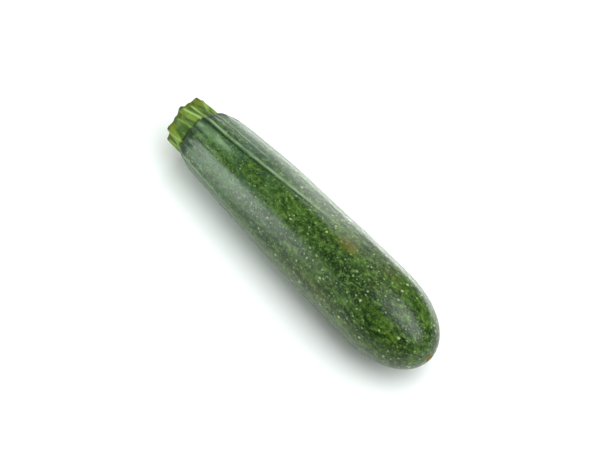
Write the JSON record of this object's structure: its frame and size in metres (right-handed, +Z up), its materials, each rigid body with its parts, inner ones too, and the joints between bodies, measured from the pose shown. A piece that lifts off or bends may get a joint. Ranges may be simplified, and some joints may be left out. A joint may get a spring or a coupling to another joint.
{
  "type": "zucchini",
  "caption": "Whole green zucchini lying on its side: a long blunt speckled fruit, faintly ribbed, with a short grooved cut stem.",
  "frame": {"origin": "on the table, in the middle of the small flat spot under the fruit's centre of mass", "axes": "+X along the fruit towards the blossom end, -X towards the cut stem, +Z up"},
  "size_m": [0.1925, 0.045, 0.0456],
  "materials": {
    "skin": "dark green waxy skin, mottled and covered in small pale flecks",
    "stem": "yellow-green stem, matt, with pale ridges, dark grooves and a moist cut face"
  },
  "bodies": {
    "root": {"fruit": "skin", "stem": "stem"}
  },
  "joints": []
}
